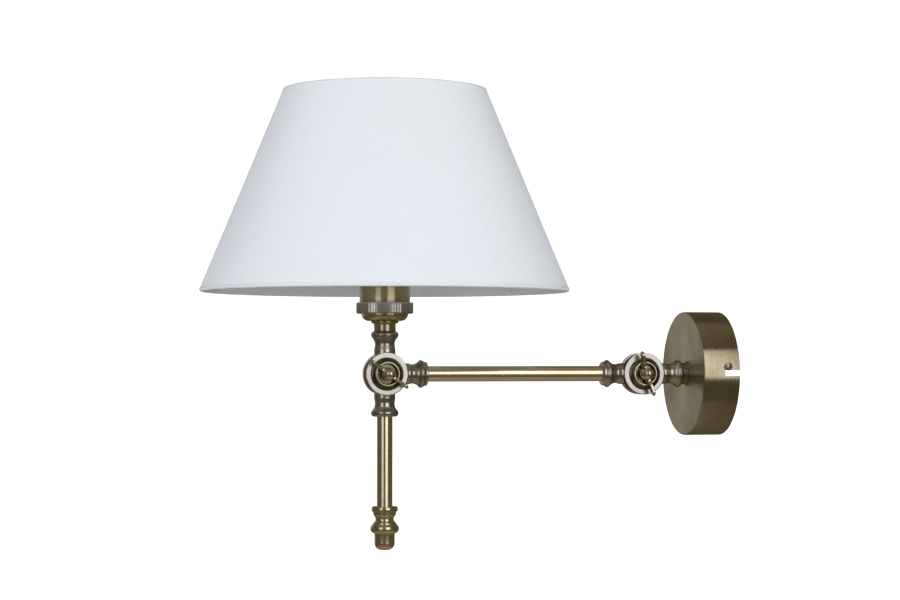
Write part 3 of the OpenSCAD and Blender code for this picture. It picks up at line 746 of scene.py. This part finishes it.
def build_coupling_ring():
    """The fluted ring that clamps the dome to the sleeve."""
    lip_r, inner_r, lip_top, edge = 19.45, 20.55, 50.0, 0.9
    outline = rounded([(lip_r, RING_FOOT), (RING_R, RING_FOOT, edge), (RING_R, RING_TOP, edge),
                       (inner_r, RING_TOP, 0.2), (inner_r, lip_top), (lip_r, lip_top)])
    below_face = 7
    face = [(RING_R, 50.6 + 0.5 * i) for i in range(12)]
    outline = outline[:below_face] + face + outline[below_face:]
    piece = lathe("holder_ring", outline, at(LAMP_AXIS), segments=980, swell=ring_radius)
    stand_for(piece, "coupling_ring", "lamp", RING)


def sleeve_thread(angle, r, z):
    """Round thread for the clamp ring on the top of the sleeve."""
    pitch, half_depth = 2.4, 0.3
    if r < SLEEVE_R or z < THREAD_FOOT or z > THREAD_TOP:
        return r
    return r - half_depth * (1 - math.cos(TURN * z / pitch - angle))


def build_sleeve():
    """The lampholder's sleeve: a groove above the ring, a shoulder for the shade and a thread."""
    foot, top, inner_r, mouth_r = 50, 91, 19.5, 15
    groove_r, shoulder_r, shoulder_low, shoulder_top = 20.25, 23, 75.6, 78
    outline = [(inner_r, foot), (SLEEVE_R, foot), (SLEEVE_R, 58.4), (groove_r, 58.6),
               (groove_r, 58.9), (SLEEVE_R, 59.1), (SLEEVE_R, shoulder_low)]
    outline += rounded([(SLEEVE_R, shoulder_low), (shoulder_r, shoulder_low, 0.5),
                        (shoulder_r, shoulder_top, 0.5), (SLEEVE_R, shoulder_top)])[1:]
    outline += [(SLEEVE_R, THREAD_FOOT + 0.2 * i) for i in range(59)]
    outline += [(SLEEVE_R - 0.1, top - 0.4), (SLEEVE_R - 0.5, top), (mouth_r + 0.3, top),
                (mouth_r, top - 0.3), (mouth_r, THREAD_TOP), (inner_r, THREAD_TOP)]
    piece = lathe("holder_shell", outline, at(LAMP_AXIS), segments=192, swell=sleeve_thread)
    stand_for(piece, "holder_sleeve", "lamp", HOLDER)


def build_finial():
    """The turned finial, drawn downwards from the lower end of the tube."""
    top = node_box("lower_tube")[0].z
    outline = [(0, 0)] + rounded([(10.2, 0), (10.6, 0.6, 0.5), (10.7, 2.2, 1.0), (10.5, 3.8, 0.6),
                                  (9.4, 4.2, 0.2), (9.3, 6.3, 0.5), (8.9, 6.8)])
    outline += arc((10.9, 9.9), 3.5, 232, 128, 16)
    outline += rounded([(9.0, 12.95), (9.4, 13.2, 0.3), (9.65, 14.2, 0.2)])
    outline += arc((7.75, 17.7), 3.9, -60, 80, 20) + [(8.3, 21.8), (8.2, 22.4)]
    outline += arc((2.6, 29.4), 5.6, 0, 90, 18) + [(0, 35.0)]
    piece = lathe("finial_turned", outline, at(Vector((LAMP_AXIS.x, LAMP_AXIS.y, top)), DOWN),
                  segments=160, closed=False)
    stand_for(piece, "finial", "lamp", TURNED)


# ---------------------------------------------------------------- shade

SHADE_LOW, SHADE_HIGH = node_box("shade_cover")
COVER_TOP_R = 82.2
LINER_TOP_R = 83.4


def shade_wave(angle, z):
    """How far the wrapped cloth and its liner stand out from the true cone, in mm."""
    share = min(1, max(0, (z - SHADE_LOW.z) / (SHADE_HIGH.z - SHADE_LOW.z)))
    ripple = 0.12 * math.sin(3 * angle + 0.02 * z) + 0.07 * math.sin(7 * angle + 1.3)
    return (ripple - 0.10) * math.sin(math.pi * share) - 0.6


def build_liner():
    """The stiff sheet that the cloth is bonded to, with the same slight waves."""
    low, high = node_box("shade_liner")
    r_low, r_high, thick, rows = high.x, LINER_TOP_R, 0.4, 40
    face = [(r_low + (r_high - r_low) * i / rows, low.z + (high.z - low.z) * i / rows)
            for i in range(rows + 1)]
    outline = face + [(r - thick, z) for r, z in reversed(face)]
    liner = lathe("shade_sheet", outline, at(LAMP_AXIS), segments=240,
                  swell=lambda angle, r, z: r + shade_wave(angle, z))
    stand_for(liner, "shade_liner", "lamp", LINER)


def cover_section(foot, up, out, slant, roll, hem):
    """The strip's cross-section: its outer face, top roll, inner face and bottom roll.

    up runs along the cone's side from foot, over the length slant, and out stands off it.
    """
    rows, cloth, hem_thick, tuck = 48, 0.5, 1.3, 1.5
    inner_rows = rows - 8
    outer = slant - 2 * roll
    tilt = math.degrees(math.atan2(out.y, out.x))
    head = foot + up * outer - out * roll
    base = foot - out * roll
    section = [foot + up * (outer * i / rows) for i in range(rows + 1)]
    section += [Vector(p) for p in arc(head, roll, tilt + 12, tilt + 180, 12)]
    section.append(head - up * tuck - out * (roll * 0.55))
    inside = [(slant - 6, hem_thick), (slant - hem, hem_thick), (slant - hem - 0.6, cloth)]
    start, length = slant - hem - 4, slant - 2 * hem - 8
    inside += [(start - length * i / (inner_rows - 1), cloth) for i in range(inner_rows)]
    inside += [(hem + 0.6, cloth), (hem, hem_thick), (6, hem_thick)]
    section += [foot + up * along - out * depth for along, depth in inside]
    section.append(base + up * tuck - out * (roll * 0.55))
    section += [Vector(p) for p in arc(base, roll, tilt + 180, tilt + 348, 12)]
    return section


def build_shade():
    """The cover: one strip of cloth wrapped round the cone, its hems rolled over the rim wires."""
    r_low, r_high = SHADE_HIGH.x, COVER_TOP_R
    roll, hem = 1.7, 13.0
    height = SHADE_HIGH.z - SHADE_LOW.z
    slant = math.hypot(r_low - r_high, height)
    lean = (r_low - r_high) / slant
    up = Vector(((r_high - r_low) / slant, height / slant))
    out = Vector((up.y, -up.x))
    section = cover_section(Vector((r_low, SHADE_LOW.z + roll)), up, out, slant, roll, hem)
    columns, overlap, seam = 360, math.radians(5), math.radians(105)
    seam_lift, ramp = 0.55, overlap * 0.4
    mesh = bmesh.new()
    layer = mesh.loops.layers.uv.new("cloth")
    grid = []
    for k in range(columns + 1):
        turned = (TURN + overlap) * (k / columns)
        angle = seam + turned
        lift = seam_lift * min(1, max(0, (turned - TURN + ramp) / ramp))
        column = []
        for spot in section:
            r = spot.x + lift + shade_wave(angle, spot.y)
            column.append(mesh.verts.new(
                (r * math.cos(angle), LAMP_AXIS.y + r * math.sin(angle), spot.y)))
        grid.append((angle, column))
    count = len(section)
    for (a0, left), (a1, right) in zip(grid, grid[1:]):
        for i in range(count):
            k = (i + 1) % count
            face = mesh.faces.new([left[i], right[i], right[k], left[k]])
            for loop, angle, j in zip(face.loops, (a0, a1, a1, a0), (i, i, k, k)):
                reach = section[j].x / lean * MM
                spread = (angle - seam - math.pi) * lean
                loop[layer].uv = (reach * math.sin(spread), reach * math.cos(spread))
    mesh.faces.new(grid[0][1])
    mesh.faces.new(grid[-1][1][::-1])
    cover = finish_mesh(mesh, "shade_cloth", sharp=50)
    stand_for(cover, "shade_cover", "lamp", CLOTH)


# ---------------------------------------------------------------- studio

LENS_MM = 88.66
CAMERA_AT = (1.7574, -0.6654, 0.0120)
CAMERA_YAW = 76.147
CAMERA_PITCH = 1.529
FLOOR_Z = -0.50
COOL = (0.96, 1.05, 1.22)
WARM = (1.0, 0.89, 0.66)


def add_camera():
    data = bpy.data.cameras.new("camera")
    data.lens = LENS_MM
    data.sensor_width = 36
    data.clip_end = 50
    camera = bpy.data.objects.new("camera", data)
    bpy.context.collection.objects.link(camera)
    camera.location = CAMERA_AT
    camera.rotation_euler = (math.radians(90 + CAMERA_PITCH), 0, math.radians(CAMERA_YAW))
    bpy.context.scene.camera = camera


def soft_box(name, angle, lift, distance, width, height, glow, colour=(1, 1, 1), fill=False):
    """A rectangular light at an angle round the lamp's stem (0 is +X) and a lift, in degrees.

    glow is its radiance. A fill only lights the cloth and paint, and isn't seen in the metal.
    """
    data = bpy.data.lights.new(name, "AREA")
    data.shape = "RECTANGLE"
    data.size = width
    data.size_y = height
    data.energy = glow * math.pi * width * height
    data.color = colour
    lamp = bpy.data.objects.new(name, data)
    bpy.context.collection.objects.link(lamp)
    target = Vector((0, LAMP_AXIS.y * MM, 0))
    a, e = math.radians(angle), math.radians(lift)
    direction = Vector((math.cos(a) * math.cos(e), math.sin(a) * math.cos(e), math.sin(e)))
    lamp.location = target + direction * distance
    lamp.rotation_euler = direction.to_track_quat("Z", "Y").to_euler()
    lamp.visible_camera = False
    lamp.visible_glossy = not fill


def pale(name, glow):
    """A near-white ground that glows, so that it stays even in the picture."""
    s = Shader(name)
    tint = s.mix(s.remap(s.noise(3, 2), 0.3, 0.7, 0, 1), rgb((0.90, 0.90, 0.90)),
                 rgb((0.88, 0.88, 0.885)))
    s.set(Base_Color=tint, Roughness=0.8, Specular_IOR_Level=0.1,
          Emission_Color=rgb((1, 1, 1)), Emission_Strength=glow)
    return s.material


def add_studio():
    """A pale floor that runs up into a round backdrop, so that every side has the same ground."""
    floor_r, bend, wall_top = 2.4, 1.6, 4.2
    outline = [(0, 0), (1.6, 0), (floor_r, 0)] + arc((floor_r, bend), bend, -90, 0, 12)
    outline.append((floor_r + bend, wall_top))
    mesh = bmesh.new()
    add_lathe(mesh, [(r / MM, z / MM) for r, z in outline],
              at(Vector((0, LAMP_AXIS.y, FLOOR_Z / MM))), segments=96, closed=False)
    backdrop = finish_mesh(mesh, "backdrop")
    backdrop.visible_glossy = False
    backdrop.visible_diffuse = False
    wear(backdrop, pale("pale backdrop", 1.0))
    world = bpy.data.worlds.new("studio")
    world.use_nodes = True
    background = world.node_tree.nodes["Background"]
    background.inputs["Color"].default_value = rgb((0.80, 0.67, 0.43))
    background.inputs["Strength"].default_value = 0.148
    bpy.context.scene.world = world
    just_above_floor = -FLOOR_Z - 0.02
    soft_box("right box", 17, 16, 2.3, 1.35, 2.1, 1.6)
    soft_box("left box", -42, 16, 2.3, 1.05, 2.1, 1.05)
    soft_box("top box", -12, 82, 2.2, 2.4, 2.4, 0.14, WARM)
    soft_box("far box", 200, 8, 2.4, 1.8, 1.8, 0.28)
    soft_box("floor bounce", 0, -90, just_above_floor, 0.8, 0.8, 0.18, WARM)
    soft_box("front fill", -12, 10, 2.4, 2.0, 2.0, 2.4, COOL, fill=True)
    soft_box("left fill", -105, 10, 2.2, 1.5, 2.0, 1.8, COOL, fill=True)
    soft_box("right fill", 80, 10, 2.2, 1.5, 2.0, 1.25, COOL, fill=True)
    soft_box("floor fill", 0, -90, just_above_floor, 2.0, 2.0, 0.24, COOL, fill=True)
    soft_box("back fill", 170, 10, 2.4, 2.0, 2.0, 2.2, COOL, fill=True)
    bpy.context.scene.view_settings.view_transform = "Standard"


add_camera()
dress_frame()
build_canopy()
build_knuckles()
build_cup_washer("wall_washer", "wall_cup_washer", WALL_AXIS, "wall_plate")
build_cup_washer("lamp_washer", "lamp_cup_washer", LAMP_AXIS, "lamp")
build_wing_screw("wall_wing", "wall_wing_screw", WALL_AXIS, "wall_wing", 73.8)
build_wing_screw("lamp_wing", "lamp_wing_screw", LAMP_AXIS, "lamp_wing", 36.2)
build_spacer()
build_dome()
build_coupling_ring()
build_sleeve()
build_finial()
build_liner()
build_shade()
add_studio()
